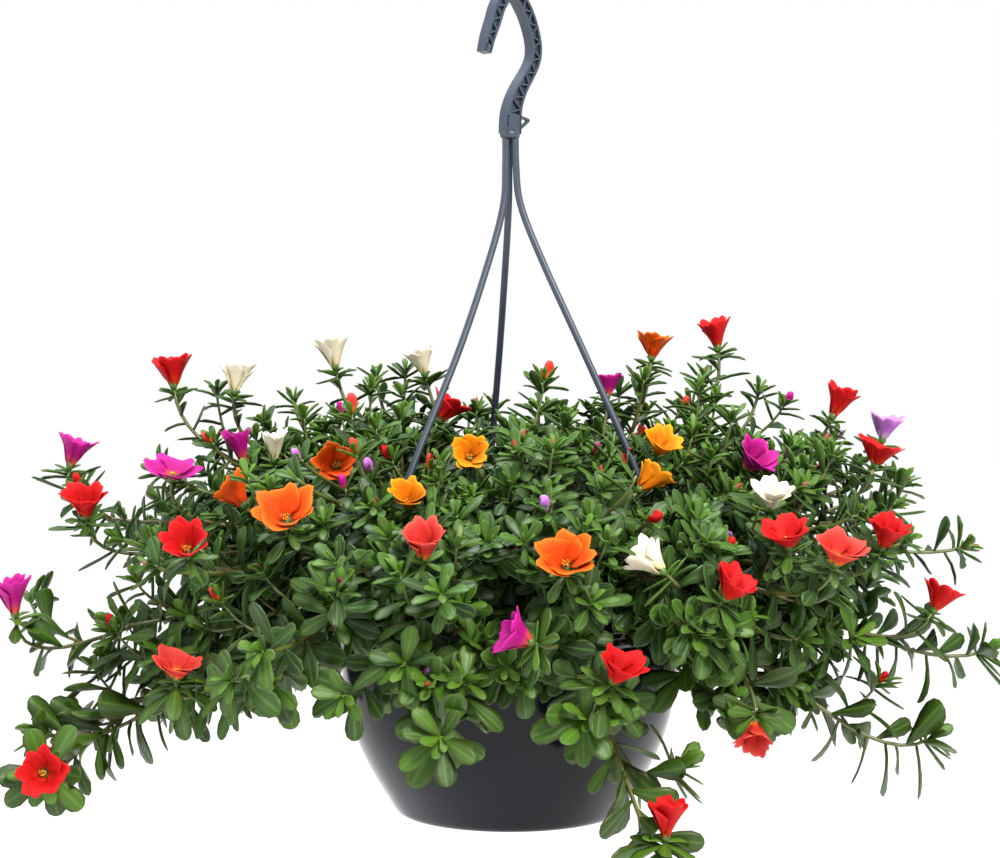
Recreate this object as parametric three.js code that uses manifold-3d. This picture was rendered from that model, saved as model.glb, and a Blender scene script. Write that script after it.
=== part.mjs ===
// A hanging basket of portulaca: a moulded bowl pot on a one-piece, three-armed hanger with a hook,
// filled with potting soil, planted with succulent stems that fan out over the rim and end in blooms.
//
// Units are millimetres, +Z is up. The origin is the seat of the hook, where the bracket carries it,
// and the pot's axis is the Z axis. -Y is the front.
//
// Each plant stem and its leaves are one grown piece: the ten branches of the plant are one node each,
// and each bloom is a node of its own. Leaves are simple closed lozenges, thinned out where they would
// touch another piece.

import * as THREE from "three";
import { mergeVertices } from "three/addons/utils/BufferGeometryUtils.js";
import Module from "manifold-3d";

const wasm = await Module();
wasm.setup();

// ---- Driving dimensions -------------------------------------------------------------------------

const RIM_Z = -430; // top of the pot's rim, below the hook's seat
const RIM_R = 125; // outer radius of the rim
const POT_HEIGHT = 145;
const WALL = 2; // pot wall thickness
const GAP = 0.3; // clearance between pieces that rest on each other

const ARM_AZIMUTHS = [99, 219, 339]; // degrees, one hanger arm each
const ARM_BULGES = [0, 0, 9]; // how far the plant pushes each arm outwards, at mid height
const LUG_R = 112; // radius of the lugs that take the arms
const ARM_DIAMETER = 5;

const BRANCH_COUNT = 10;
const BRANCH_BASE_R = 46; // radius of the circle on the soil where the branches start
const STEM_R = 1.8;

const radians = THREE.MathUtils.degToRad;
const up = new THREE.Vector3(0, 0, 1);

// A point on a circle about the Z axis.
function polar(radius, azimuth, z) {
  return new THREE.Vector3(
    radius * Math.cos(radians(azimuth)),
    radius * Math.sin(radians(azimuth)),
    z,
  );
}

// ---- Between three.js and manifold-3d -----------------------------------------------------------

function toSolid(geometry, matrix = new THREE.Matrix4()) {
  const bare = new THREE.BufferGeometry();
  bare.setAttribute("position", geometry.getAttribute("position").clone());
  if (geometry.index) bare.setIndex(geometry.index.clone());
  bare.applyMatrix4(matrix);
  const merged = mergeVertices(bare, 1e-4);
  return new wasm.Manifold(
    new wasm.Mesh({
      numProp: 3,
      vertProperties: merged.attributes.position.array,
      triVerts: new Uint32Array(merged.index.array),
    }),
  );
}

function toGeometry(solid) {
  const mesh = solid.getMesh();
  const geometry = new THREE.BufferGeometry();
  geometry.setAttribute("position", new THREE.BufferAttribute(mesh.vertProperties, 3));
  geometry.setIndex(new THREE.BufferAttribute(mesh.triVerts, 1));
  geometry.computeVertexNormals();
  return geometry;
}

function joined(solids) {
  return solids.reduce((whole, next) => whole.add(next));
}

// ---- Shapes that several pieces use -------------------------------------------------------------

// A solid of revolution about Z from [radius, z] points that start and end on the axis.
function turned(profile, segments) {
  const points = profile.map(([radius, z]) => new THREE.Vector2(radius, z));
  const geometry = new THREE.LatheGeometry(points, segments);
  return toSolid(geometry, new THREE.Matrix4().makeRotationX(Math.PI / 2));
}

// A box from its size, centre and turn about Z.
function block(width, depth, height, centre, azimuth = 0) {
  const matrix = new THREE.Matrix4()
    .makeRotationZ(radians(azimuth))
    .setPosition(centre.x, centre.y, centre.z);
  return toSolid(new THREE.BoxGeometry(width, depth, height), matrix);
}

// A round bar along a curve, with closed ends.
function bar(curve, radius, sides, steps) {
  const outline = [];
  for (let i = 0; i < sides; i++) {
    const turn = (2 * Math.PI * i) / sides;
    outline.push(new THREE.Vector2(radius * Math.cos(turn), radius * Math.sin(turn)));
  }
  return toSolid(
    new THREE.ExtrudeGeometry(new THREE.Shape(outline), {
      steps,
      bevelEnabled: false,
      extrudePath: curve,
    }),
  );
}

// ---- The pot ------------------------------------------------------------------------------------

const POT_SEGMENTS = 44;
const FLOOR_Z = RIM_Z - POT_HEIGHT;
const FOOT_DEPTH = 3; // the middle of the base is raised by this, so the pot stands on a ring
const FOOT_R = 60;
const BASE_R = 77;
const BAND_STEP = 1.4; // the lower part of the rim band is this much smaller in radius
const RIM_WIDTH = 6;
const DRAIN_COUNT = 6;
const DRAIN_R = 4;
const DRAIN_CIRCLE_R = 42;

// Outer wall, from the flat of the base up to the underside of the rim: [radius, depth below rim].
const POT_WALL = [
  [BASE_R, 145],
  [81, 143.2],
  [84.5, 139],
  [92, 126],
  [101, 110],
  [110.5, 88],
  [116.5, 64],
  [119.5, 40],
  [121, 16],
];

function potWallRadius(depth) {
  const above = POT_WALL.findIndex(([, d]) => d <= depth);
  const [r1, d1] = POT_WALL[above];
  const [r0, d0] = POT_WALL[Math.max(above - 1, 0)];
  return d0 === d1 ? r1 : THREE.MathUtils.mapLinear(depth, d0, d1, r0, r1);
}

function makePot() {
  const outside = POT_WALL.map(([radius, depth]) => [radius, RIM_Z - depth]);
  const inside = POT_WALL.slice(2)
    .reverse()
    .map(([radius, depth]) => [radius - WALL, RIM_Z - depth]);
  const shell = turned(
    [
      [0, FLOOR_Z + FOOT_DEPTH],
      [FOOT_R - 2, FLOOR_Z + FOOT_DEPTH],
      [FOOT_R, FLOOR_Z],
      ...outside,
      [RIM_R - BAND_STEP, RIM_Z - 13.5], // lower edge of the rim band
      [RIM_R - BAND_STEP, RIM_Z - 9],
      [RIM_R, RIM_Z - 8.4], // step in the band
      [RIM_R, RIM_Z - 1.2],
      [RIM_R - 1.2, RIM_Z],
      [RIM_R - RIM_WIDTH + 1, RIM_Z],
      [RIM_R - RIM_WIDTH, RIM_Z - 1.2],
      ...inside,
      [BASE_R - 1, FLOOR_Z + FOOT_DEPTH + WALL],
      [0, FLOOR_Z + FOOT_DEPTH + WALL],
    ],
    POT_SEGMENTS,
  );
  const lugs = ARM_AZIMUTHS.map((azimuth) => {
    const lug = block(14, 16, 3, polar(LUG_R + 1, azimuth, RIM_Z - 3), azimuth);
    const slot = block(5, 7, 8, polar(LUG_R, azimuth, RIM_Z - 3), azimuth);
    return lug.subtract(slot);
  });
  const drains = [];
  for (let i = 0; i < DRAIN_COUNT; i++) {
    const hole = new THREE.CylinderGeometry(DRAIN_R, DRAIN_R, 12, 10).rotateX(Math.PI / 2);
    const centre = polar(DRAIN_CIRCLE_R, (i * 360) / DRAIN_COUNT, FLOOR_Z + FOOT_DEPTH);
    drains.push(toSolid(hole.translate(centre.x, centre.y, centre.z)));
  }
  return joined([shell, ...lugs]).subtract(joined(drains));
}

// ---- The soil -----------------------------------------------------------------------------------

const SOIL_EDGE_DEPTH = 16; // below the rim, at the wall
const SOIL_CROWN_DEPTH = 6; // below the rim, in the middle
const SOIL_SEGMENTS = 24;

function soilTop(radius) {
  const share = radius / RIM_R;
  const depth = THREE.MathUtils.lerp(SOIL_CROWN_DEPTH, SOIL_EDGE_DEPTH, share * share);
  return RIM_Z - depth;
}

function makeSoil() {
  // Flats of a coarser ring lie outside a finer one, so the soil keeps this much more off the wall.
  const clearance = WALL + 1;
  const side = [130, 110, 88, 64, 40, SOIL_EDGE_DEPTH].map((depth) => [
    potWallRadius(depth) - clearance,
    RIM_Z - depth,
  ]);
  const bottom = FLOOR_Z + FOOT_DEPTH + WALL + GAP;
  const top = [90, 60, 30, 0].map((radius) => [radius, soilTop(radius)]);
  return turned([[0, bottom], [BASE_R - 3, bottom], ...side, ...top], SOIL_SEGMENTS);
}

// ---- The hanger: hook, collar and three arms in one moulding ------------------------------------

const HOOK_TURN = 40; // degrees that the hook's plane is turned from the X axis
const HOOK_DEPTH = 9; // across the plane of the hook
const HOOK_FLANGE = 1.7;
const HOOK_POCKET_DEPTH = 3;
const HOOK_POCKET_STEP = 0.058; // of the hook's length, from one pocket to the next on the same side
const HOOK_POCKET_HALF = 0.36; // half a pocket's width, as a share of that step
const HOOK_STEPS = 30;
const SHANK_FOOT_Z = -96;

// Middle line of the hook in its own plane, from the foot of the shank over the crown to the tip:
// [across, z, thickness].
const HOOK_LINE = [
  [0, SHANK_FOOT_Z, 13.5],
  [0.5, -84, 13],
  [3, -74, 11.5],
  [8, -64, 10],
  [15, -54, 9],
  [20.5, -44, 8.6],
  [21.5, -33, 8.6],
  [17.5, -19, 8.8],
  [10.5, -6, 9],
  [0, 4.6, 9.2],
  [-10.5, -6, 9],
  [-16, -19, 8.6],
  [-20.5, -30, 7.6],
  [-23.5, -40, 6.4],
];

const hookMatrix = new THREE.Matrix4()
  .makeRotationZ(radians(HOOK_TURN))
  .multiply(new THREE.Matrix4().makeRotationX(Math.PI / 2));

// The two sides of the hook at a place along it, moved in from its edges by an inset.
function hookEdges(share, inset) {
  const line = new THREE.CatmullRomCurve3(
    HOOK_LINE.map(([across, z, thick]) => new THREE.Vector3(across, z, thick)),
  );
  const { x, y, z: thick } = line.getPoint(share);
  const next = line.getPoint(Math.min(share + 0.002, 1));
  const last = line.getPoint(Math.max(share - 0.002, 0));
  const along = new THREE.Vector2(next.x - last.x, next.y - last.y).normalize();
  const half = thick / 2 - inset;
  return [
    new THREE.Vector2(x - along.y * half, y + along.x * half),
    new THREE.Vector2(x + along.y * half, y - along.x * half),
  ];
}

function prism(outline, depth, start) {
  const geometry = new THREE.ExtrudeGeometry(new THREE.Shape(outline), {
    depth,
    bevelEnabled: false,
  });
  return toSolid(geometry.translate(0, 0, start), hookMatrix);
}

function makeHook() {
  const left = [];
  const right = [];
  for (let i = 0; i <= HOOK_STEPS; i++) {
    const [a, b] = hookEdges(i / HOOK_STEPS, 0);
    left.push(a);
    right.push(b);
  }
  const body = prism([...left, ...right.reverse()], HOOK_DEPTH, -HOOK_DEPTH / 2);
  // Triangular pockets on both faces leave a zigzag web between the two flanges.
  const pockets = [];
  const half = HOOK_POCKET_STEP * HOOK_POCKET_HALF;
  for (let share = 0.16, side = 0; share < 0.95; share += HOOK_POCKET_STEP / 2, side = 1 - side) {
    const apex = hookEdges(share, HOOK_FLANGE)[side];
    const before = hookEdges(share - half, HOOK_FLANGE)[1 - side];
    const after = hookEdges(share + half, HOOK_FLANGE)[1 - side];
    for (const start of [HOOK_DEPTH / 2 - HOOK_POCKET_DEPTH, -HOOK_DEPTH / 2 - 1]) {
      pockets.push(prism([before, apex, after], HOOK_POCKET_DEPTH + 1, start));
    }
  }
  return body.subtract(joined(pockets));
}

// A small eye at the foot of the shank, for a plant label.
function makeLabelEye() {
  const triangle = [
    new THREE.Vector2(5, -96),
    new THREE.Vector2(17, -86),
    new THREE.Vector2(6, -83),
  ];
  const hole = [
    new THREE.Vector2(8.5, -91),
    new THREE.Vector2(13, -87),
    new THREE.Vector2(9, -86),
  ];
  return prism(triangle, 2.4, -1.2).subtract(prism(hole, 4, -2));
}

// One arm's line, from inside the shank's foot to the lug: [distance from the axis, z].
const ARM_LINE = [
  [4, -92],
  [4, -118],
  [6, -146],
  [19, -185],
  [46, -248],
  [86, -326],
  [105, -372],
  [LUG_R, -405],
  [LUG_R, RIM_Z + 3],
];
const ARM_STEPS = 16;
const ARM_SIDES = 6;

function armLine(azimuth, bulge) {
  const top = ARM_LINE[0][1];
  const foot = ARM_LINE.at(-1)[1];
  const points = ARM_LINE.map(([radius, z]) => {
    const share = (z - top) / (foot - top);
    return polar(radius + bulge * Math.sin(Math.PI * share) ** 2, azimuth, z);
  });
  return new THREE.CatmullRomCurve3(points);
}

function makeHanger() {
  const collar = toSolid(
    new THREE.CylinderGeometry(7.4, 6.8, 12, 12)
      .rotateX(Math.PI / 2)
      .translate(0, 0, SHANK_FOOT_Z + 1),
  );
  const pieces = [makeHook(), makeLabelEye(), collar];
  ARM_AZIMUTHS.forEach((azimuth, i) => {
    const line = armLine(azimuth, ARM_BULGES[i]);
    pieces.push(bar(line, ARM_DIAMETER / 2, ARM_SIDES, ARM_STEPS));
    pieces.push(block(8, 9, 4, polar(LUG_R, azimuth, RIM_Z + 1), azimuth)); // shoulder on the lug
    pieces.push(block(4, 5, 9, polar(LUG_R, azimuth, RIM_Z - 3.5), azimuth)); // neck in the slot
    pieces.push(block(4.4, 9, 3, polar(LUG_R, azimuth, RIM_Z - 7), azimuth)); // barb below it
  });
  return joined(pieces);
}

// ---- Blooms and tips ----------------------------------------------------------------------------

// Each row is one bloom at the end of a stem: name, x, y and height above the rim of its base, the
// compass direction it leans to and how far from upright (degrees), its radius and its depth.
const BLOOMS = [
  ["bloom_magenta_1", -346, -30, -4, -100, 12, 14, 26],
  ["bloom_magenta_2", -312, 0, 98, 0, 15, 14, 20],
  ["bloom_red_1", -294, -40, 66, -90, 25, 16, 20],
  ["bloom_red_2", -240, 20, 154, 180, 5, 16, 19],
  ["bloom_cream_1", -196, 10, 150, 0, 8, 14, 20],
  ["bloom_magenta_3", -232, -60, 94, -60, 18, 20, 10],
  ["bloom_magenta_4", -189, 10, 100, 180, 15, 11, 22],
  ["bloom_cream_2", -164, -24, 104, -90, 15, 10, 20],
  ["bloom_red_3", -210, -150, 53, -90, 45, 16, 18],
  ["bloom_orange_1", -178, -90, 79, 150, 45, 15, 18],
  ["bloom_orange_2", -146, -150, 73, -90, 40, 21, 17],
  ["bloom_orange_3", -119, -60, 103, -90, 65, 16, 14],
  ["bloom_cream_3", -127, 60, 166, 180, 10, 15, 20],
  ["bloom_cream_4", -62, 80, 160, 180, 15, 12, 19],
  ["bloom_red_4", -52, 52, 128, 0, 35, 16, 18],
  ["bloom_amber_1", -28, -56, 108, -90, 60, 14, 13],
  ["bloom_amber_2", -68, -118, 80, -90, 35, 14, 16],
  ["bloom_coral_1", -55, -190, 54, -90, 28, 16, 20],
  ["bloom_orange_4", 34, -210, 50, -90, 42, 20, 16],
  ["bloom_magenta_5", 14, -220, 6, 190, 65, 16, 17],
  ["bloom_coral_2", -222, -120, -34, -60, 18, 18, 15],
  ["bloom_magenta_6", 71, 60, 144, 90, 10, 13, 16],
  ["bloom_orange_5", 104, 70, 172, 0, 5, 14, 17],
  ["bloom_red_5", 152, 60, 180, 180, 10, 13, 20],
  ["bloom_amber_3", 98, -84, 114, -60, 40, 15, 15],
  ["bloom_amber_4", 84, -118, 92, 20, 45, 14, 18],
  ["bloom_magenta_7", 160, -60, 102, -45, 50, 16, 17],
  ["bloom_red_6", 230, 20, 132, 10, 22, 14, 21],
  ["bloom_red_7", 252, -40, 102, 0, 15, 18, 16],
  ["bloom_lilac_1", 268, 34, 114, 0, 10, 13, 18],
  ["bloom_cream_5", 172, -120, 79, -90, 30, 14, 19],
  ["bloom_red_8", 180, -160, 58, -120, 20, 18, 15],
  ["bloom_coral_3", 206, -186, 50, -60, 25, 19, 17],
  ["bloom_red_9", 250, -90, 50, -60, 25, 15, 19],
  ["bloom_cream_6", 98, -190, 46, 150, 55, 15, 20],
  ["bloom_red_10", 134, -200, 30, -30, 35, 16, 17],
  ["bloom_red_11", 62, -230, -18, -45, 35, 16, 18],
  ["bloom_coral_4", 159, -160, -52, -100, 140, 13, 18],
  ["bloom_red_12", 97, -214, -120, -70, 12, 14, 24],
  ["bloom_red_13", 290, -60, 4, 0, 25, 15, 17],
  ["bloom_red_14", -312, -110, -98, -90, 75, 17, 13],
  ["bloom_orange_6", 210, 130, 70, 45, 35, 17, 16],
  ["bloom_red_15", 110, 200, 90, 80, 30, 16, 18],
  ["bloom_magenta_8", 10, 230, 60, 90, 40, 16, 17],
  ["bloom_cream_7", -90, 190, 100, 110, 25, 15, 19],
  ["bloom_amber_5", -190, 150, 80, 140, 35, 16, 16],
  ["bloom_lilac_2", -150, 240, 0, 120, 45, 15, 17],
];

// Stem tips that carry only leaves and a bud: x, y, height above the rim, lean direction and angle.
const LEAFY_TIPS = [
  [-44, -228, -52, -90, 70],
  [-322, -60, -78, 170, 60],
  [322, 0, 42, 0, 75],
  [330, -40, -26, 0, 70],
  [286, -80, -80, 0, 60],
  [-44, -226, 38, -90, 50],
  [22, 110, 154, 90, 5],
  [184, 80, 150, 30, 10],
  [-100, 112, 160, 120, 10],
  [-158, 60, 144, 180, 10],
  [150, 250, -10, 60, 60],
  [280, 130, 10, 30, 60],
  [-20, 280, -40, 95, 70],
  [-270, 130, 20, 150, 60],
  [0, 20, 128, 90, 5],
];

const BLOOM_COLOURS = {
  magenta: 0xd01e8c,
  red: 0xd81e22,
  coral: 0xe8524a,
  orange: 0xf5701a,
  amber: 0xf8a01c,
  cream: 0xf6e6c4,
  lilac: 0xd48ad2,
};
const BLOOM_SIDES = 8;

function leanDirection(azimuth, tilt) {
  return polar(Math.sin(radians(tilt)), azimuth, Math.cos(radians(tilt)));
}

// A cup of petals on a short green base, with its foot at the end of its stem.
function makeBloom([, x, y, height, azimuth, tilt, radius, depth]) {
  const cup = turned(
    [
      [0, GAP],
      [2.6, GAP],
      [radius * 0.66, depth * 0.4],
      [radius, depth],
      [0, depth * 0.5],
    ],
    BLOOM_SIDES,
  );
  const turn = new THREE.Quaternion().setFromUnitVectors(up, leanDirection(azimuth, tilt));
  const place = new THREE.Matrix4().compose(
    new THREE.Vector3(x, y, RIM_Z + height),
    turn,
    new THREE.Vector3(1, 1, 1),
  );
  return toSolid(toGeometry(cup), place);
}

// ---- Branches: stems with their leaves ----------------------------------------------------------

const STEM_SIDES = 4;
const STEM_STEPS = 8;
const FIRST_LEAFY_STEP = 5; // nearer the soil the stems are bare
const STEM_ARCHES = [1, 1.3, 0.8, 1.6, 2, 2.5]; // an arch is raised or lowered by these
const STEM_SWAYS = [0, 15, -15, 30, -30, 45, -45, 60, -60]; // and swayed aside, past its neighbours
const LEAF_TURN = 137.5; // degrees between one leaf and the next round the stem
const LEAF_LENGTH = 29;
const LEAF_WIDTH = 11;
const LEAF_HALF_THICKNESS = 1.1;

// A stem rises from the soil, arches over the rim and comes to its tip along the tip's own lean.
function stemLine(base, tip, lean, arch, sway) {
  const reach = new THREE.Vector3(tip.x - base.x, tip.y - base.y, 0);
  const aside = new THREE.Vector3().crossVectors(up, reach).normalize().multiplyScalar(sway);
  const rise = arch * (40 + reach.length() * 0.28 + Math.max(tip.z - RIM_Z, 0) * 0.1);
  const first = base.clone().addScaledVector(reach, 0.22).addScaledVector(up, rise).add(aside);
  const last = tip.clone().addScaledVector(lean, -0.3 * base.distanceTo(tip));
  return new THREE.CubicBezierCurve3(base, first, last, tip);
}

// The first of a stem's possible arches that keeps clear of everything in its way.
function clearStemLine(base, tip, lean, obstacles) {
  for (const sway of STEM_SWAYS) {
    for (const arch of STEM_ARCHES) {
      const line = stemLine(base, tip, lean, arch, sway);
      const room = bar(line, STEM_R + GAP, STEM_SIDES, STEM_STEPS);
      if (room.intersect(obstacles).isEmpty()) return line;
    }
  }
  throw new Error(`no clear way for the stem to ${tip.toArray()}`);
}

// A leaf as a thin closed lozenge, widest past its middle, from a point on the stem.
function makeLeaf(foot, direction) {
  const side = new THREE.Vector3().crossVectors(direction, up).normalize();
  const face = new THREE.Vector3().crossVectors(side, direction);
  const broad = foot.clone().addScaledVector(direction, LEAF_LENGTH * 0.62);
  const points = [
    foot,
    foot.clone().addScaledVector(direction, LEAF_LENGTH),
    broad.clone().addScaledVector(side, LEAF_WIDTH / 2),
    broad.clone().addScaledVector(side, -LEAF_WIDTH / 2),
    broad.clone().addScaledVector(face, LEAF_HALF_THICKNESS),
    broad.clone().addScaledVector(face, -LEAF_HALF_THICKNESS),
  ];
  const geometry = new THREE.BufferGeometry().setFromPoints(points);
  geometry.setIndex([
    0, 2, 4, 0, 4, 3, 0, 3, 5, 0, 5, 2,
    1, 4, 2, 1, 3, 4, 1, 5, 3, 1, 2, 5,
  ]);
  return toSolid(geometry);
}

// The leaves of one stem, in a spiral. Each one's foot is at a joint of the stem's bar.
function stemLeaves(line, first) {
  const leaves = [];
  for (let step = FIRST_LEAFY_STEP; step < STEM_STEPS; step++) {
    const foot = line.getPointAt(step / STEM_STEPS);
    const along = line.getTangentAt(step / STEM_STEPS);
    const across = new THREE.Vector3().crossVectors(along, up).normalize();
    across.applyAxisAngle(along, radians((first + step) * LEAF_TURN));
    const direction = across.addScaledVector(along, 0.6).addScaledVector(up, 0.2).normalize();
    leaves.push(makeLeaf(foot.addScaledVector(direction, -0.8), direction));
  }
  return leaves;
}

function branchOf(x, y) {
  const azimuth = THREE.MathUtils.radToDeg(Math.atan2(y, x));
  return Math.round(THREE.MathUtils.euclideanModulo(azimuth, 360) / (360 / BRANCH_COUNT)) % BRANCH_COUNT;
}

// Each branch forks at the soil into one stem for each of its tips.
function makeStems(neighbours) {
  const branches = Array.from({ length: BRANCH_COUNT }, () => ({ lines: [], solid: null }));
  const obstacles = joined(neighbours);
  for (const [x, y, height, azimuth, tilt] of [...BLOOMS.map((row) => row.slice(1)), ...LEAFY_TIPS]) {
    const index = branchOf(x, y);
    const branch = branches[index];
    const base = polar(BRANCH_BASE_R, (index * 360) / BRANCH_COUNT, 0);
    base.z = soilTop(BRANCH_BASE_R) + STEM_R + GAP;
    const others = branches.filter((other) => other !== branch && other.solid);
    const inTheWay = joined([obstacles, ...others.map((other) => other.solid)]);
    const tip = new THREE.Vector3(x, y, RIM_Z + height);
    const line = clearStemLine(base, tip, leanDirection(azimuth, tilt), inTheWay);
    const stem = bar(line, STEM_R, STEM_SIDES, STEM_STEPS);
    branch.lines.push(line);
    branch.solid = branch.solid ? branch.solid.add(stem) : stem;
  }
  return branches;
}

function makeBranches(neighbours) {
  const branches = makeStems(neighbours);
  branches.forEach((branch, index) => {
    const others = branches.filter((other) => other !== branch).map((other) => other.solid);
    const obstacles = joined([...neighbours, ...others]);
    const leaves = branch.lines
      .flatMap((line, i) => stemLeaves(line, index + i * 2))
      .filter((leaf) => leaf.intersect(obstacles).isEmpty());
    branch.solid = joined([branch.solid, ...leaves]);
  });
  return branches.map((branch) => branch.solid);
}

// ---- The whole object ---------------------------------------------------------------------------

const basket = new THREE.Group();

function addPiece(name, solid, colour, roughness) {
  const material = new THREE.MeshStandardMaterial({ color: colour, roughness, metalness: 0 });
  const mesh = new THREE.Mesh(toGeometry(solid), material);
  mesh.name = name;
  basket.add(mesh);
}

const pot = makePot();
const soil = makeSoil();
const hanger = makeHanger();
addPiece("pot", pot, 0x2b2e36, 0.35);
addPiece("soil", soil, 0x2a1d14, 0.95);
addPiece("hanger", hanger, 0x55606f, 0.5);

const blooms = BLOOMS.map((row) => makeBloom(row));
BLOOMS.forEach(([name], i) => {
  const colour = BLOOM_COLOURS[name.split("_")[1]];
  addPiece(name, blooms[i], colour, 0.6);
});

makeBranches([pot, soil, hanger, ...blooms]).forEach((solid, i) => {
  addPiece(`branch_${i + 1}`, solid, 0x3f6e34, 0.45);
});

export default basket;
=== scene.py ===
"""A hanging basket of portulaca in bloom: a moulded pot on a three-armed hanger, filled with succulent
stems that fan out over the rim.

Shapes are worked out in millimetres and turned to metres when a mesh is made. The origin is the seat
of the hook, +Z is up and -Y is the front.
"""

import math

import bpy
import numpy as np
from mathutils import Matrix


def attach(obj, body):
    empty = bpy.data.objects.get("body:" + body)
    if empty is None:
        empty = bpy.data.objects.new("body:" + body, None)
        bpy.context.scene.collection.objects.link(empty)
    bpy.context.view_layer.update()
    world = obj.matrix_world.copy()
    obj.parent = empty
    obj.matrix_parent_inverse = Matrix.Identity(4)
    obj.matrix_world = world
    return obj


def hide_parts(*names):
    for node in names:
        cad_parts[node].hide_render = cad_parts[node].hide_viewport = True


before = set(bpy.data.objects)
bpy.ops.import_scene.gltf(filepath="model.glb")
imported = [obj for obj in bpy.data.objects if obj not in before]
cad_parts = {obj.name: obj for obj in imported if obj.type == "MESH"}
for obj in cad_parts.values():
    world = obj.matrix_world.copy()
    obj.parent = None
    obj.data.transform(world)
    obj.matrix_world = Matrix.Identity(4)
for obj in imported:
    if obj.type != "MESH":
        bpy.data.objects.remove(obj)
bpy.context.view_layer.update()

# ---- Camera ----
# A long lens a little above the plant, looking slightly down on the basket.

camera_data = bpy.data.cameras.new("camera")
camera_data.lens = 91.8
camera_data.sensor_width = 36
camera = bpy.data.objects.new("camera", camera_data)
camera.location = (-0.007, -1.8, -0.192)
camera.rotation_euler = (math.radians(90 - 3.55), 0, 0)
bpy.context.collection.objects.link(camera)
bpy.context.scene.camera = camera

# ---- Studio ----
# A white studio: light from all round, a large soft key light from above and in front, and a pale
# plain floor well below the hanging basket.


def linear(code):
    """An sRGB hex colour as linear RGBA."""
    channels = [int(code[i : i + 2], 16) / 255 for i in (0, 2, 4)]
    return (
        *(c / 12.92 if c <= 0.04045 else ((c + 0.055) / 1.055) ** 2.4 for c in channels),
        1.0,
    )


def add_node(material, kind, settings=None, links=None):
    """Adds a shader node. Settings go to its sockets or properties, links are {socket: (node, output)}."""
    tree = material.node_tree
    node = tree.nodes.new("ShaderNode" + kind)
    if kind == "Mix":
        node.data_type = "RGBA"  # every mix is of two colours
    for name, value in (settings or {}).items():
        if isinstance(name, str) and name not in node.inputs:
            setattr(node, name, value)
        else:
            node.inputs[name].default_value = value
    for name, (source, output) in (links or {}).items():
        tree.links.new(source.outputs[output], node.inputs[name])
    return node


def new_material(name):
    """An empty node material and its surface shader."""
    material = bpy.data.materials.new(name)
    material.use_nodes = True
    material.node_tree.nodes.clear()
    shader = add_node(material, "BsdfPrincipled")
    add_node(material, "OutputMaterial", {}, {"Surface": (shader, "BSDF")})
    return material, shader


def link(material, source, output, target, socket):
    material.node_tree.links.new(source.outputs[output], target.inputs[socket])


def build_object(name, points, faces, material, **attributes):
    """A smooth mesh from points in millimetres and arrays of faces with equal numbers of corners."""
    corners = np.concatenate([part.ravel() for part in faces])
    sizes = np.concatenate([np.full(len(part), part.shape[1]) for part in faces])
    mesh = bpy.data.meshes.new(name)
    mesh.vertices.add(len(points))
    mesh.vertices.foreach_set("co", (points / 1000).astype(np.float32).ravel())
    mesh.loops.add(len(corners))
    mesh.loops.foreach_set("vertex_index", corners.astype(np.int32))
    mesh.polygons.add(len(sizes))
    mesh.polygons.foreach_set("loop_start", (np.cumsum(sizes) - sizes).astype(np.int32))
    mesh.update(calc_edges=True)
    mesh.shade_smooth()
    for key, values in attributes.items():
        attribute = mesh.attributes.new(key, "FLOAT", "POINT")
        attribute.data.foreach_set("value", np.asarray(values, np.float32))
    mesh.materials.append(material)
    thing = bpy.data.objects.new(name, mesh)
    bpy.context.collection.objects.link(thing)
    return thing


basket_centre = (0, 0, -0.4)


def add_light(name, place, size, power, colour):
    """A round soft light that faces the basket."""
    data = bpy.data.lights.new(name, "AREA")
    data.shape = "DISK"
    data.size = size
    data.energy = power
    data.color = linear(colour)[:3]
    light = bpy.data.objects.new(name, data)
    light.location = place
    aim = np.array(basket_centre) - np.array(place)
    tilt = math.atan2(math.hypot(aim[0], aim[1]), -aim[2])
    light.rotation_euler = (tilt, 0, math.atan2(aim[1], aim[0]) - math.pi / 2)
    bpy.context.collection.objects.link(light)
    return light


lights = [
    add_light("key_light", (0.9, -1.7, 1.3), 0.8, 120, "fffaf2"),
    add_light("top_light", (-0.5, 0.2, 1.5), 0.9, 55, "f4f8ff"),
    add_light("left_light", (-2.0, -0.9, 0.0), 0.8, 16, "eef4ff"),
]

world = bpy.data.worlds.new("white_studio")
world.use_nodes = True
world.node_tree.nodes["Background"].inputs["Color"].default_value = (1, 1, 1, 1)
world.node_tree.nodes["Background"].inputs["Strength"].default_value = 1.0
bpy.context.scene.world = world
bpy.context.scene.view_settings.view_transform = "Standard"

floor_paint, shader = new_material("matt_white_floor_paint")
shader.inputs["Base Color"].default_value = linear("ffffff")
shader.inputs["Roughness"].default_value = 0.9
FLOOR_Z = -1150
floor_corners = np.array([[-60, -10, 0], [60, -10, 0], [60, 110, 0], [-60, 110, 0]]) * 1000.0
floor = build_object("floor", floor_corners + (0, 0, FLOOR_Z), [np.array([[0, 1, 2, 3]])], floor_paint)

# ---- Pot ----
# A thin-walled bowl pot, injection moulded in dark blue-grey polypropylene. It has a rim band with a
# step, a foot ring, six drain holes and three lugs inside the rim for the hanger's arms.

RIM_Z = -430.0
RIM_R = 125.0
POT_HEIGHT = 145.0
POT_WALL_THICKNESS = 2.0
ARM_AZIMUTHS = (99, 219, 339)
LUG_R = 112.0

POT_WALL = np.array([  # outer radius and depth below the rim, from the foot up
    (77, 145), (79.4, 144.6), (81.4, 143.2), (83, 141), (84.9, 138), (88.3, 132.2),
    (92, 126), (96.7, 118), (101, 110), (106.2, 99), (110.5, 88), (113.9, 76),
    (116.5, 64), (118.3, 52), (119.5, 40), (120.3, 28), (121, 16),
])


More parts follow.
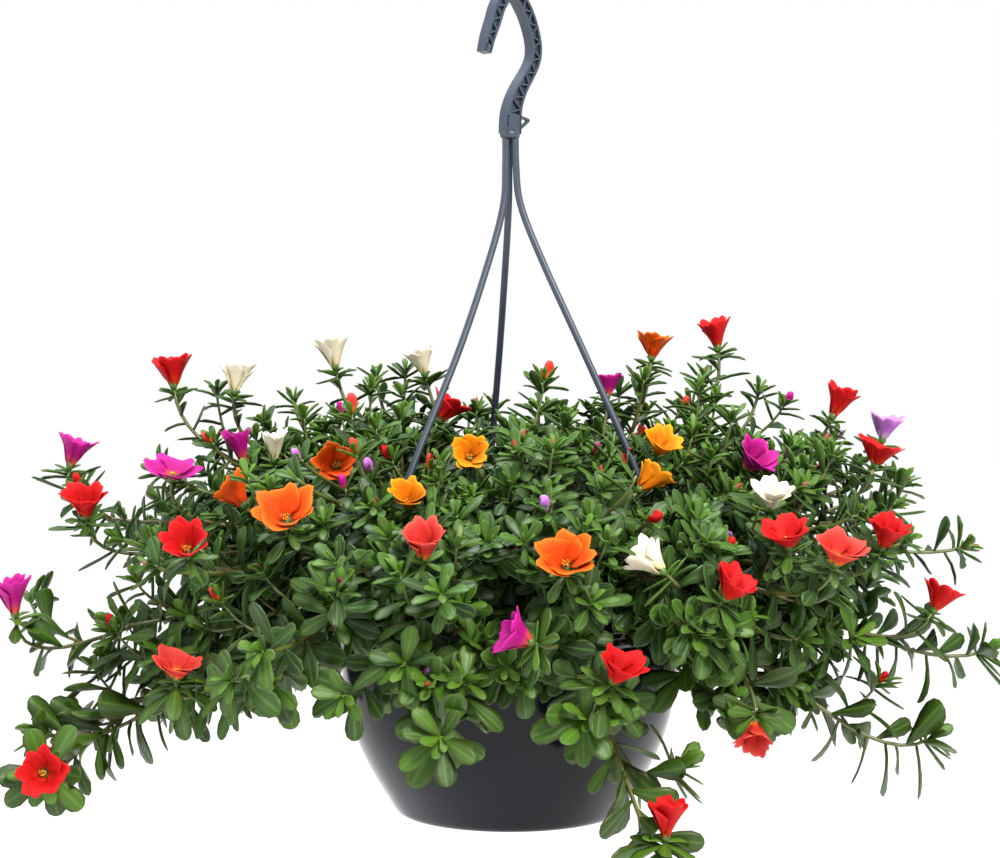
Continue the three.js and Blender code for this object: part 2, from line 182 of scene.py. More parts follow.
def revolve(profile, segments):
    """A closed solid of revolution about Z from (radius, z) rows that start and end on the axis."""
    profile = np.asarray(profile, float)
    turns = np.arange(segments) * 2 * np.pi / segments
    radii, heights = profile[1:-1, :1], np.repeat(profile[1:-1, 1:], segments, axis=1)
    points = np.stack([radii * np.cos(turns), radii * np.sin(turns), heights], axis=-1).reshape(-1, 3)
    poles = np.array([[0, 0, profile[0, 1]], [0, 0, profile[-1, 1]]])
    here = np.arange(segments)
    after = (here + 1) % segments
    top = len(points) - segments
    first_fan = np.stack([np.full(segments, len(points)), after, here], axis=1)
    last_fan = np.stack([np.full(segments, len(points) + 1), top + here, top + after], axis=1)
    fans = np.concatenate([first_fan, last_fan])
    return np.concatenate([points, poles]), [ring_quads(len(radii), segments), fans]


def ring_quads(rings, segments):
    """The quads between successive rings of points."""
    here = np.arange(segments)
    after = (here + 1) % segments
    start = np.arange(rings - 1)[:, None] * segments
    return np.stack(
        [start + here, start + after, start + segments + after, start + segments + here],
        axis=-1,
    ).reshape(-1, 4)


def merged(shapes):
    """Several (points, faces) shapes as one."""
    offset = 0
    points, faces = [], []
    for part_points, part_faces in shapes:
        points.append(part_points)
        faces += [part + offset for part in part_faces]
        offset += len(part_points)
    return np.concatenate(points), faces


def polar(radius, azimuth, z):
    turn = math.radians(azimuth)
    return np.array([radius * math.cos(turn), radius * math.sin(turn), z])


def turned(x, y, turn):
    """Coordinates turned about the Z axis."""
    return x * math.cos(turn) - y * math.sin(turn), x * math.sin(turn) + y * math.cos(turn)


def slab(width, depth, height, centre, azimuth):
    """A block, turned about Z, as a shape."""
    corner = np.array([[-1, -1], [1, -1], [1, 1], [-1, 1]]) * 0.5
    flat = corner * (width, depth)
    turn = math.radians(azimuth)
    spin = np.array([[math.cos(turn), math.sin(turn)], [-math.sin(turn), math.cos(turn)]])
    flat = flat @ spin
    low = np.column_stack([flat, np.full(4, -height / 2)])
    high = np.column_stack([flat, np.full(4, height / 2)])
    faces = [ring_quads(2, 4), np.array([[3, 2, 1, 0], [4, 5, 6, 7]])]
    return np.concatenate([low, high]) + centre, faces


inner_wall = (POT_WALL[3:] - (POT_WALL_THICKNESS, 0))[::-1]
pot_foot = [(0, POT_HEIGHT - 3), (58, POT_HEIGHT - 3), (60, POT_HEIGHT)]
rim_band = [  # from its lower edge over the step to the inside
    (RIM_R - 1.8, 13.8), (RIM_R - 1.3, 13.2), (RIM_R - 1.2, 9.2), (RIM_R - 0.3, 8.6),
    (RIM_R, 8), (RIM_R, 1.6), (RIM_R - 0.5, 0.5), (RIM_R - 1.6, 0),
    (RIM_R - 4.6, 0), (RIM_R - 5.6, 0.5), (RIM_R - 6, 1.6),
]
pot_inside = [(76, POT_HEIGHT - 5), (0, POT_HEIGHT - 5)]
pot_profile = np.concatenate([pot_foot, POT_WALL, rim_band, inner_wall, pot_inside])
pot_profile[:, 1] = RIM_Z - pot_profile[:, 1]
pot_shapes = [revolve(pot_profile, 168)]
LUG_HEIGHT = 3
lug_z = RIM_Z - LUG_HEIGHT
for azimuth in ARM_AZIMUTHS:
    # two cheeks, an inner bar and an outer one leave a slot for the arm
    for side in (-1, 1):
        cheek = polar(LUG_R + 1, azimuth, lug_z) + polar(side * 5.5, azimuth + 90, 0)
        pot_shapes.append(slab(14, 5, LUG_HEIGHT, cheek, azimuth))
    pot_shapes.append(slab(3.5, 7, LUG_HEIGHT, polar(LUG_R - 4.3, azimuth, lug_z), azimuth))
    pot_shapes.append(slab(4.5, 7, LUG_HEIGHT, polar(LUG_R + 5.5, azimuth, lug_z), azimuth))

# Polypropylene from a polished mould: nearly black and glossy, with faint flow marks.
pot_plastic, shader = new_material("glossy_moulded_polypropylene")
shader.inputs["IOR"].default_value = 1.49
shader.inputs["Specular IOR Level"].default_value = 0.13
where = add_node(pot_plastic, "TexCoord")
# flow marks about 20 mm apart
flow = add_node(pot_plastic, "TexNoise", {"Scale": 45.0, "Detail": 2.0}, {"Vector": (where, "Object")})
tint = add_node(pot_plastic, "Mix", {6: linear("06090e"), 7: linear("0b0f16")}, {"Factor": (flow, "Fac")})
link(pot_plastic, tint, 2, shader, "Base Color")
gloss = add_node(pot_plastic, "MapRange", {"To Min": 0.1, "To Max": 0.18}, {"Value": (flow, "Fac")})
link(pot_plastic, gloss, "Result", shader, "Roughness")

pot = build_object("pot_shell", *merged(pot_shapes), pot_plastic)
pot.data.set_sharp_from_angle(angle=math.radians(40))

DRAIN_COUNT, DRAIN_R, DRAIN_CIRCLE_R = 6, 4, 42
foot_z = RIM_Z - POT_HEIGHT
drain_rows = [(0, foot_z - 5), (DRAIN_R, foot_z - 5), (DRAIN_R, foot_z + 10), (0, foot_z + 10)]
points, faces = revolve(drain_rows, 24)
drill_shapes = [
    (points + polar(DRAIN_CIRCLE_R, i * 360 / DRAIN_COUNT, 0), faces) for i in range(DRAIN_COUNT)
]
drill = build_object("drain_drill", *merged(drill_shapes), pot_plastic)
cut = pot.modifiers.new("drains", "BOOLEAN")
cut.object = drill
cut.operation = "DIFFERENCE"
cut.solver = "EXACT"
bpy.context.view_layer.objects.active = pot
bpy.ops.object.modifier_apply(modifier="drains")
bpy.data.objects.remove(drill)
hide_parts("pot")
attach(pot, "root")

# ---- Soil ----
# Damp peat-based potting soil, slightly mounded in the middle, with crumbs on its surface.

rng = np.random.default_rng(11)
SOIL_SEGMENTS = 72


def soil_height(radius):
    share = radius / RIM_R
    return RIM_Z - 6 - 10 * share**2


soil_rows = [(0, RIM_Z - POT_HEIGHT + 5.6), (73, RIM_Z - POT_HEIGHT + 5.6)]
for radius, depth in POT_WALL[5:]:
    soil_rows.append((radius - POT_WALL_THICKNESS - 0.6, RIM_Z - depth))
for radius in np.arange(114, 0, -4):
    soil_rows.append((radius, soil_height(radius)))
soil_rows.append((0, soil_height(0)))
soil_points, soil_faces = revolve(soil_rows, SOIL_SEGMENTS)
top_surface = (soil_points[:, 2] > RIM_Z - 16) & (np.hypot(soil_points[:, 0], soil_points[:, 1]) < 115)
soil_points[top_surface, 2] += rng.uniform(-1.2, 1.2, top_surface.sum())

potting_soil, shader = new_material("damp_peat_soil")
where = add_node(potting_soil, "TexCoord")
# crumbs of 3 mm
crumbs = add_node(potting_soil, "TexVoronoi", {"Scale": 330.0}, {"Vector": (where, "Object")})
tint = add_node(
    potting_soil, "Mix", {6: linear("1d1410"), 7: linear("4a3626")}, {"Factor": (crumbs, "Distance")}
)
link(potting_soil, tint, 2, shader, "Base Color")
shader.inputs["Roughness"].default_value = 0.95
relief = add_node(
    potting_soil, "Bump", {"Strength": 0.8, "Distance": 0.001}, {"Height": (crumbs, "Distance")}
)
link(potting_soil, relief, "Normal", shader, "Normal")
soil = build_object("soil_fill", soil_points, soil_faces, potting_soil)
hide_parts("soil")
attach(soil, "root")

# ---- Hanger ----
# One moulding in blue-grey polypropylene: an S hook stiffened by a zigzag web between two flanges,
# a collar below it, and three arms that clip into the pot's lugs.

HOOK_TURN = 40  # degrees from the X axis to the plane of the hook
HOOK_DEPTH = 9.0
HOOK_WEB_DEPTH = 3.2
HOOK_FLANGE = 1.7
HOOK_LINE = np.array([  # middle line from the foot of the shank to the tip: across, z, thickness
    (0, -96, 13.5), (0.5, -84, 13), (3, -74, 11.5), (8, -64, 10), (15, -54, 9),
    (20.5, -44, 8.6), (21.5, -33, 8.6), (17.5, -19, 8.8), (10.5, -6, 9), (0, 4.6, 9.2),
    (-10.5, -6, 9), (-16, -19, 8.6), (-20.5, -30, 7.6), (-23.5, -40, 6.4),
])


def lengths_along(path):
    return np.r_[0, np.cumsum(np.linalg.norm(np.diff(path, axis=0), axis=1))]


def points_at(places, lengths, path):
    """Points at some lengths along a path."""
    return np.stack([np.interp(places, lengths, column) for column in path.T], axis=1)


def smooth_line(points, steps):
    """A Catmull-Rom curve through points, as evenly spaced points."""
    points = np.asarray(points, float)
    padded = np.concatenate([2 * points[:1] - points[1:2], points, 2 * points[-1:] - points[-2:-1]])
    pieces = []
    for a, b, c, d in zip(padded[:-3], padded[1:-2], padded[2:-1], padded[3:], strict=True):
        for t in np.arange(0, 1, 0.05):
            curve = 2 * b + (c - a) * t + (2 * a - 5 * b + 4 * c - d) * t**2
            pieces.append(0.5 * (curve + (3 * b - a - 3 * c + d) * t**3))
    dense = np.array([*pieces, points[-1]])
    lengths = lengths_along(dense)
    return points_at(np.linspace(0, lengths[-1], steps + 1), lengths, dense)


HOOK_STEPS = 96
hook_centre = smooth_line(HOOK_LINE, HOOK_STEPS)
hook_along = np.gradient(hook_centre[:, :2], axis=0)
hook_along /= np.linalg.norm(hook_along, axis=1, keepdims=True)
hook_aside = np.stack([-hook_along[:, 1], hook_along[:, 0]], axis=1)


def hook_edge(side, inset):
    """One side of the hook's outline, in the hook's plane, moved in by an inset."""
    return hook_centre[:, :2] + hook_aside * (side * (hook_centre[:, 2:] / 2 - inset))


def plate(outline_a, outline_b, depth):
    """A closed plate between two lines in the hook's plane, centred on it, as a shape."""
    rows = len(outline_a)
    flat = np.stack([outline_a, outline_b, outline_b, outline_a], axis=1).reshape(-1, 2)
    across = np.tile([-depth / 2, -depth / 2, depth / 2, depth / 2], rows)
    x, y = turned(flat[:, 0], across, math.radians(HOOK_TURN))
    last = (rows - 1) * 4
    caps = np.array([[3, 2, 1, 0], [last, last + 1, last + 2, last + 3]])
    return np.column_stack([x, y, flat[:, 1]]), [ring_quads(rows, 4), caps]


def lengthened(edge):
    """An edge carried on a little past its end."""
    return np.vstack([edge, edge[-1] + 0.3 * (edge[-1] - edge[-2])])


hook_shapes = [
    plate(hook_edge(-1, 0.3), hook_edge(1, 0.3), HOOK_WEB_DEPTH),
    plate(hook_edge(-1, 0), hook_edge(-1, HOOK_FLANGE), HOOK_DEPTH),
    plate(hook_edge(1, HOOK_FLANGE), hook_edge(1, 0), HOOK_DEPTH),
    plate(hook_edge(-1, 0.1)[:9], hook_edge(1, 0.1)[:9], HOOK_DEPTH),  # solid foot
    plate(lengthened(hook_edge(-1, 0.1)[-4:]), lengthened(hook_edge(1, 0.1)[-4:]), HOOK_DEPTH),  # tip
]
left_edge, right_edge = hook_edge(-1, 0.8), hook_edge(1, 0.8)
ZIGZAG_STEPS = 3
for row, start in enumerate(range(8, HOOK_STEPS - 4, ZIGZAG_STEPS)):
    from_edge, to_edge = (left_edge, right_edge) if row % 2 else (right_edge, left_edge)
    ends = np.array([from_edge[start], to_edge[start + ZIGZAG_STEPS]])
    rib = ends[1] - ends[0]
    rib_side = np.array([-rib[1], rib[0]]) / np.linalg.norm(rib) * 0.6
    hook_shapes.append(plate(ends - rib_side, ends + rib_side, HOOK_DEPTH - 0.4))


def sweep(path, radii, sides, oval=1.0):
    """A closed tube along a path, with a radius for each point, as a shape."""
    path = np.asarray(path, float)
    radii = np.broadcast_to(radii, len(path))
    along = np.gradient(path, axis=0)
    along /= np.linalg.norm(along, axis=1, keepdims=True)
    side = np.cross(along[0], (0.31, 0.87, 0.38))
    turns = np.arange(sides) * 2 * np.pi / sides
    rings = []
    for centre, direction, radius in zip(path, along, radii, strict=True):
        side = side - direction * (side @ direction)
        side /= np.linalg.norm(side)
        third = np.cross(direction, side)
        rings.append(
            centre
            + radius * (np.cos(turns)[:, None] * side + oval * np.sin(turns)[:, None] * third)
        )
    last = (len(path) - 1) * sides
    caps = np.stack([np.arange(sides)[::-1], last + np.arange(sides)])
    return np.concatenate(rings), [ring_quads(len(path), sides), caps]


ARM_BULGES = (0, 0, 9)  # how far the plant pushes each arm outwards, at mid height
ARM_TOP_Z, ARM_FOOT_Z = -92, RIM_Z + 3
ARM_RADIUS = 2.5
ARM_LINE = [(4, ARM_TOP_Z), (4, -118), (6, -146), (19, -185), (46, -248), (86, -326), (105, -372)]
ARM_LINE += [(LUG_R, -405), (LUG_R, ARM_FOOT_Z)]
arm_paths = []
for azimuth, bulge in zip(ARM_AZIMUTHS, ARM_BULGES, strict=True):
    rows = []
    for radius, z in ARM_LINE:
        share = (z - ARM_TOP_Z) / (ARM_FOOT_Z - ARM_TOP_Z)
        rows.append(polar(radius + bulge * math.sin(math.pi * share) ** 2, azimuth, z))
    arm_paths.append(smooth_line(rows, 120))
hanger_shapes = list(hook_shapes)
for azimuth, path in zip(ARM_AZIMUTHS, arm_paths, strict=True):
    hanger_shapes.append(sweep(path, ARM_RADIUS, 14, oval=0.9))
    # a shoulder on the lug, a neck through its slot and a catch below it
    hanger_shapes.append(slab(8, 9, 4, polar(LUG_R, azimuth, RIM_Z + 1), azimuth))
    hanger_shapes.append(slab(4, 5, 9, polar(LUG_R, azimuth, RIM_Z - 3.5), azimuth))
    hanger_shapes.append(slab(4.4, 9, 3, polar(LUG_R, azimuth, RIM_Z - 7), azimuth))
collar_rows = [(0, -99), (6.2, -99), (6.8, -98.4), (7.2, -95.5), (6.9, -94.6), (0, -94.2)]
hanger_shapes.append(revolve(collar_rows, 32))
EYE_HALF_BAR, EYE_DEPTH = 0.9, 2.4  # the label eye is a triangle of flat bars
eye_line = np.array([(5, -95), (17, -86), (6, -83), (5, -95)])
for start, end in zip(eye_line[:-1], eye_line[1:], strict=True):
    eye_bar = end - start
    bar_side = np.array([-eye_bar[1], eye_bar[0]]) / np.linalg.norm(eye_bar) * EYE_HALF_BAR
    ends = np.array([start, end])
    hanger_shapes.append(plate(ends - bar_side, ends + bar_side, EYE_DEPTH))

# Polypropylene from an eroded mould: satin, a little lighter than the pot.
hanger_plastic, shader = new_material("satin_moulded_polypropylene")
shader.inputs["IOR"].default_value = 1.49
where = add_node(hanger_plastic, "TexCoord")
# flow marks about 10 mm apart
flow = add_node(hanger_plastic, "TexNoise", {"Scale": 90.0, "Detail": 3.0}, {"Vector": (where, "Object")})
tint = add_node(
    hanger_plastic, "Mix", {6: linear("252e3a"), 7: linear("2e3847")}, {"Factor": (flow, "Fac")}
)
link(hanger_plastic, tint, 2, shader, "Base Color")
shader.inputs["Roughness"].default_value = 0.42
hanger = build_object("hanger_moulding", *merged(hanger_shapes), hanger_plastic)
hanger.data.set_sharp_from_angle(angle=math.radians(40))
soften = hanger.modifiers.new("moulded_edges", "BEVEL")
soften.width = 0.0003
soften.segments = 2
soften.limit_method = "ANGLE"
soften.angle_limit = math.radians(50)
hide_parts("hanger")
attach(hanger, "root")

# ---- Shoots ----
# The plant is a crown of fleshy stems, 4 mm thick at the foot, that arch over the rim and turn up at
# their ends. Older wood is reddish brown and the tips are green. Side shoots leave the stems in a spiral.

BRANCH_COUNT = 10
UP = np.array([0.0, 0.0, 1.0])
rng = np.random.default_rng(2024)


def bloom_pose(node):
    """Foot, axis, radius and depth of a bloom, from its solid: the cup's two poles lie on its axis,
    and the lower one has the small ring of the foot close round it."""
    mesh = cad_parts[node].data
    points = np.array([vertex.co for vertex in mesh.vertices]) * 1000
    mesh.calc_loop_triangles()
    corners = np.array([tri.vertices for tri in mesh.loop_triangles]).ravel()
    spots, which = np.unique(points.round(3), axis=0, return_inverse=True)
    uses = np.bincount(which.ravel()[corners], minlength=len(spots))
    poles = spots[np.argsort(uses)[-2:]]
    nearest = [np.sort(np.linalg.norm(spots - pole, axis=1))[1] for pole in poles]
    low, high = poles[np.argsort(nearest)]
    axis = (high - low) / np.linalg.norm(high - low)
    depth = 2 * (np.linalg.norm(high - low) + 0.3)
    beside = spots - low
    radius = np.linalg.norm(beside - np.outer(beside @ axis, axis), axis=1).max()
    return low - axis * 0.3, axis, radius, depth


blooms = {name: bloom_pose(name) for name in sorted(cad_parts) if name.startswith("bloom_")}

# Tips that end in leaves and a bud: x, y, height above the rim, lean direction, lean from upright.
LEAFY_TIPS = [
    (-44, -228, -52, -90, 70), (-322, -60, -78, 170, 60), (322, 0, 42, 0, 75),
    (330, -40, -26, 0, 70), (286, -80, -80, 0, 60), (-44, -226, 38, -90, 50),
    (22, 110, 154, 90, 5), (184, 80, 150, 30, 10), (-100, 112, 160, 120, 10),
    (-158, 60, 144, 180, 10), (150, 250, -10, 60, 60), (280, 130, 10, 30, 60),
    (-20, 280, -40, 95, 70), (-270, 130, 20, 150, 60), (0, 20, 128, 90, 5),
]
SPIRAL_ANGLE = 137.5  # degrees from a leaf or stem to the next
SHOOT_TURN = 2.4  # radians from a side shoot or stamen to the next


def unit(vectors):
    return vectors / np.linalg.norm(vectors, axis=-1, keepdims=True)


def lean(azimuth, tilt):
    return polar(math.sin(math.radians(tilt)), azimuth, math.cos(math.radians(tilt)))


def bezier(p0, p1, p2, p3, steps):
    t = np.linspace(0, 1, steps + 1)[:, None]
    return (1 - t) ** 3 * p0 + 3 * (1 - t) ** 2 * t * p1 + 3 * (1 - t) * t**2 * p2 + t**3 * p3


def branch_of(point):
    azimuth = math.degrees(math.atan2(point[1], point[0])) % 360
    return round(azimuth / (360 / BRANCH_COUNT)) % BRANCH_COUNT


arm_points = np.concatenate(arm_paths)


def near_arm(points, distance):
    """Whether each point is within a distance of one of the hanger's arms."""
    points = np.asarray(points)
    gaps = np.linalg.norm(points[:, None, :] - arm_points[None, ::3, :], axis=2)
    return gaps.min(axis=1) < distance


def in_bloom_cup(points):
    """Whether each point lies among the petals of a bloom."""
    inside = np.zeros(len(points), bool)
    for foot, axis, radius, depth in blooms.values():
        gap = points - foot
        rise = gap @ axis
        beside = np.linalg.norm(gap - np.outer(rise, axis), axis=1)
        wall = (radius + 4) * np.clip(rise / depth, 0.2, 1.1)
        inside |= (rise > 2.5) & (rise < depth * 1.4) & (beside < wall)
    return inside


def stem_path(tip, direction, arch=1.0):
    """A main stem from the crown to its tip, arriving along a direction and passing clear of the arms."""
    azimuth = math.degrees(math.atan2(tip[1], tip[0])) + rng.uniform(-9, 9)
    base = polar(rng.uniform(34, 54), azimuth, 0)
    base[2] = soil_height(46) - 3
    reach = np.array([tip[0] - base[0], tip[1] - base[1], 0])
    rise = arch * (40 + np.linalg.norm(reach) * 0.28 + max(tip[2] - RIM_Z, 0) * 0.1)
    aside = unit(np.cross(UP, reach)) if np.linalg.norm(reach) > 1 else np.zeros(3)
    last = tip - direction * 0.3 * np.linalg.norm(tip - base)
    for sway in (0, 15, -15, 30, -30, 45, -45):
        first = base + reach * 0.22 + UP * rise + aside * sway
        path = bezier(base, first, last, tip, 22)
        if not near_arm(path, 5).any() and not in_bloom_cup(path).any():
            break
    return path


def side_shoot(parent, share, turn, length):
    """A shoot from a stem, leaving it at an angle and turning up towards the light."""
    index = int(share * (len(parent) - 2))
    start = parent[index]
    along = unit(parent[index + 1] - start)
    across = unit(np.cross(along, (0.2, 0.1, 0.97)))
    away = across * math.cos(turn) + np.cross(along, across) * math.sin(turn)
    outward = unit(start * (1, 1, 0) + 1e-6)
    direction = unit(along * 0.55 + away * 0.75 + UP * 0.25 + outward * 0.2)
    end_direction = unit(direction * 0.6 + UP * 0.75)
    end = start + direction * length * 0.65 + end_direction * length * 0.35
    return bezier(
        start, start + direction * length * 0.4, end - end_direction * length * 0.35, end, 7
    )


# Each shoot: its path, its radii at foot and tip, where its leaves begin, their length and its age
# from 0, old and low, to 1, young.
shoots = []


def add_shoot(path, radii, leafy_from, leaf_length, youth, bloom=None):
    shoot = dict(path=path, radii=radii, leafy_from=leafy_from, leaf_length=leaf_length, youth=youth)
    shoots.append(shoot | {"bloom": bloom, "branch": branch_of(path[-1])})


def leaf_length_at(point):
    """Leaves are longest low down, where the shoots hang in shade."""
    return float(np.interp(point[2], [RIM_Z - 80, RIM_Z + 20, RIM_Z + 150], [40, 30, 23]))


def in_front_of_bloom(points, margin):
    """Whether each point hides a bloom from the side that it's seen from."""
    hidden = np.zeros(len(points), bool)
    for foot, axis, radius, depth in blooms.values():
        gap = points - foot - axis * depth * 0.7
        front = 1 if foot[1] > 100 else -1
        beside = np.hypot(gap[:, 0], gap[:, 2])
        hidden |= (beside < radius * margin) & (gap[:, 1] * front > 0)
        hidden |= np.linalg.norm(gap, axis=1) < max(radius, depth) * 0.5
    return hidden


def add_stem(tip, direction, side_count, bloom=None, leafy_from=0.35, arch=1.0):
    path = stem_path(tip, direction, arch)
    add_shoot(path, (2.0, 1.3), leafy_from, leaf_length_at(tip), 0.3, bloom)
    turn = rng.uniform(0, 2 * math.pi)
    for i in range(side_count):
        share = 0.36 + 0.52 * (i + rng.uniform(0, 0.7)) / side_count
        turn += SHOOT_TURN
        length = rng.uniform(42, 92) * (1.15 - 0.5 * share)
        side = side_shoot(path, share, turn, length)
        if (in_front_of_bloom(side, 0.9) | in_bloom_cup(side) | near_arm(side, 4)).any():
            continue
        add_shoot(side, (1.3, 0.9), 0.12, leaf_length_at(side[-1]), rng.uniform(0.3, 0.8))


for name, (foot, axis, _, _) in blooms.items():
    add_stem(foot, axis, 3, bloom=name)
for x, y, height, azimuth, tilt in LEAFY_TIPS:
    add_stem(np.array([x, y, RIM_Z + height], float), lean(azimuth, tilt), 3)

# More stems without blooms fill the dome of the plant, and a skirt of them hangs over the rim.
DOME_STEMS = 104
for i in range(DOME_STEMS):
    azimuth = i * SPIRAL_ANGLE
    share = math.sqrt((i + 0.5) / DOME_STEMS)
    reach = 60 + 160 * share
    sideways = abs(math.cos(math.radians(azimuth)))
    spread = 0.95 + 0.35 * sideways**2
    height = 118 - (72 - 25 * sideways) * share**2 + rng.uniform(-26, 14)
    tip = polar(reach * spread, azimuth, RIM_Z + height)
    if not in_front_of_bloom(tip[None], 1.2).any():
        add_stem(tip, lean(azimuth, 20 + 45 * share), 3)

SKIRT_STEMS = 46
for i in range(SKIRT_STEMS):
    azimuth = i * 360 / SKIRT_STEMS + rng.uniform(-3, 3)
    sideways = abs(math.cos(math.radians(azimuth)))
    reach = rng.uniform(170, 226) * (1 + 0.25 * sideways)
    tip = polar(reach, azimuth, RIM_Z + rng.uniform(-18 - 56 * sideways, 14))
    if not in_front_of_bloom(tip[None], 1.2).any():
        add_stem(tip, lean(azimuth, 80), 3, leafy_from=0.5)

# Fleshy stem skin: smooth and slightly waxy, reddish brown where it is old and green where it is young.
stem_skin, shader = new_material("waxy_stem_skin")
age = add_node(stem_skin, "Attribute", {"attribute_name": "youth"})
where = add_node(stem_skin, "TexCoord")
# red blushes about 15 mm long
blush = add_node(stem_skin, "TexNoise", {"Scale": 60.0, "Detail": 2.0}, {"Vector": (where, "Object")})
old_wood = add_node(
    stem_skin, "Mix", {6: linear("4c2a1c"), 7: linear("6a4a24")}, {"Factor": (blush, "Fac")}
)
skin = add_node(stem_skin, "Mix", {7: linear("405a1e")}, {"Factor": (age, "Fac"), 6: (old_wood, 2)})
link(stem_skin, skin, 2, shader, "Base Color")
shader.inputs["Roughness"].default_value = 0.4

STEM_SIDES = 5
for branch in range(BRANCH_COUNT):
    shapes, youth = [], []
    for shoot in (s for s in shoots if s["branch"] == branch):
        path = shoot["path"]
        radii = np.linspace(*shoot["radii"], len(path))
        shapes.append(sweep(path, radii, STEM_SIDES))
        share = np.linspace(0, 1, len(path))
        youth.append(np.repeat(shoot["youth"] * 0.6 + 0.6 * share**1.5, STEM_SIDES))
    stems = build_object(
        f"stems_{branch + 1}", *merged(shapes), stem_skin, youth=np.clip(np.concatenate(youth), 0, 1)
    )
    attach(stems, "root")

# ---- Leaves ----
# Fleshy spatula-shaped leaves, up to 2 mm thick, narrow at the foot, blunt at the tip and folded a little
# along the midrib. They grow in a spiral and close up into a rosette at the end of each shoot.

# Cross-section, across and up: a channel on top and a keel below.
LEAF_RING = [(1, 0), (0.5, 0.75), (0, 0.3), (-0.5, 0.75), (-1, 0), (0, -1.1)]
# Leaf outlines: place along the leaf, share of the widest half-width, half-thickness in mm.
LONG_LEAF = [(0.05, 0.18, 1.0), (0.3, 0.46, 0.9), (0.54, 0.84, 0.8)]
LONG_LEAF += [(0.74, 1.0, 0.7), (0.9, 0.8, 0.6), (0.98, 0.38, 0.4)]
SHORT_LEAF = [(0.06, 0.22, 1.0), (0.4, 0.68, 0.9), (0.73, 1.0, 0.75), (0.93, 0.58, 0.5)]
LEAF_SPACING = 7.0  # mm from a leaf to the next along a shoot
MOST_SIDEWAYS = 352  # mm that a leaf may reach to the left or right


def leaf_pattern(outline):
    """Points of a leaf 1 long and 1 wide at each side, its faces, and each point's place across it."""
    sides = len(LEAF_RING)
    points, across = [(0.0, 0.0, 0.0)], [0.0]
    for station, width, thickness in outline:
        points += [(station, a * width, b * thickness) for a, b in LEAF_RING]
        across += [abs(a) for a, _ in LEAF_RING]
    points.append((1.0, 0.0, 0.0))
    across.append(1.0)
    here = np.arange(sides)
    after = (here + 1) % sides
    last_ring = 1 + (len(outline) - 1) * sides
    foot_fan = np.stack([np.zeros(sides, int), after + 1, here + 1], axis=1)
    tip_fan = np.stack([np.full(sides, len(points) - 1), last_ring + here, last_ring + after], axis=1)
    faces = [ring_quads(len(outline), sides) + 1, np.concatenate([foot_fan, tip_fan])]
    return np.array(points), faces, np.array(across)


def shoot_leaves(shoot):
    """Rows of foot, direction, upper face, length, width, curl, fold, youth and shade for one shoot."""
    path = shoot["path"]
    lengths = lengths_along(path)
    total = lengths[-1]
    stops = list(np.arange(shoot["leafy_from"] * total, total - 6, LEAF_SPACING))
    rosette = 11 if shoot["bloom"] else 9
    stops += list(total - np.linspace(6, 0.5, rosette))
    rows = []
    turn = rng.uniform(0, 2 * math.pi)
    for i, stop in enumerate(stops):
        in_rosette = i >= len(stops) - rosette
        foot, before = points_at([stop, stop - 3], lengths, path)
        along = unit(foot - before)
        across = unit(np.cross(along, (0.13, 0.06, 0.99)))
        turn += math.radians(SPIRAL_ANGLE) + rng.uniform(-0.2, 0.2)
        away = across * math.cos(turn) + np.cross(along, across) * math.sin(turn)
        # the leaves of a rosette are smaller, younger and more upright towards its heart
        heart = (i - len(stops) + rosette) / rosette if in_rosette else 0.0
        opening = rng.uniform(52, 80)
        if in_rosette:
            opening = (94 - 28 * heart if shoot["bloom"] else 76 - 58 * heart) + rng.uniform(-9, 9)
        opening = math.radians(opening)
        droop = np.interp(foot[2], [RIM_Z - 60, RIM_Z + 40], [-0.35, 0.12])
        direction = unit(along * math.cos(opening) + away * math.sin(opening) + UP * droop)
        face = along * 0.9 + UP * 0.45 + rng.normal(0, 0.12, 3)
        face = unit(face - direction * (face @ direction))
        shade = np.interp(foot[2], [RIM_Z - 70, RIM_Z + 30], [1, 0])
        size = shoot["leaf_length"] * rng.uniform(0.72, 1.12)
        size *= 0.92 - 0.5 * heart if in_rosette else 1.0
        broadening = np.interp(foot[2], [RIM_Z - 60, RIM_Z + 60], [1.35, 1])
        half_width = size * rng.uniform(0.155, 0.2) * broadening
        curl = rng.uniform(-0.25, 0.75)
        fold = rng.uniform(0.05, 0.4) * (1 - 0.6 * shade)
        youth = np.clip(shoot["youth"] * 0.35 + 0.75 * heart + rng.uniform(-0.15, 0.15), 0, 1)
        rows.append([*foot, *direction, *face, size, half_width, curl, fold, youth, shade])
    return np.array(rows)


rows_of_shoots = [shoot_leaves(shoot) for shoot in shoots]
leaf_rows = np.concatenate(rows_of_shoots)
leaf_branch = np.repeat([shoot["branch"] for shoot in shoots], [len(rows) for rows in rows_of_shoots])


def pot_outer_radius(z):
    depth = RIM_Z - z
    radius = np.interp(depth, POT_WALL[::-1, 1], POT_WALL[::-1, 0])
    return np.where(depth < 15, RIM_R, np.where(depth > POT_HEIGHT, 0, radius))


front_arms = np.concatenate(arm_paths[1:])
front_arms = front_arms[front_arms[:, 2] > RIM_Z + 85]


def hides_front_arms(points):
    """Whether each point hangs in front of the part of the front arms that stands out of the leaves."""
    beside = points[:, None, [0, 2]] - front_arms[None, ::2, [0, 2]]
    before = points[:, None, 1] < front_arms[None, ::2, 1]
    return ((np.linalg.norm(beside, axis=2) < 7) & before).any(axis=1)


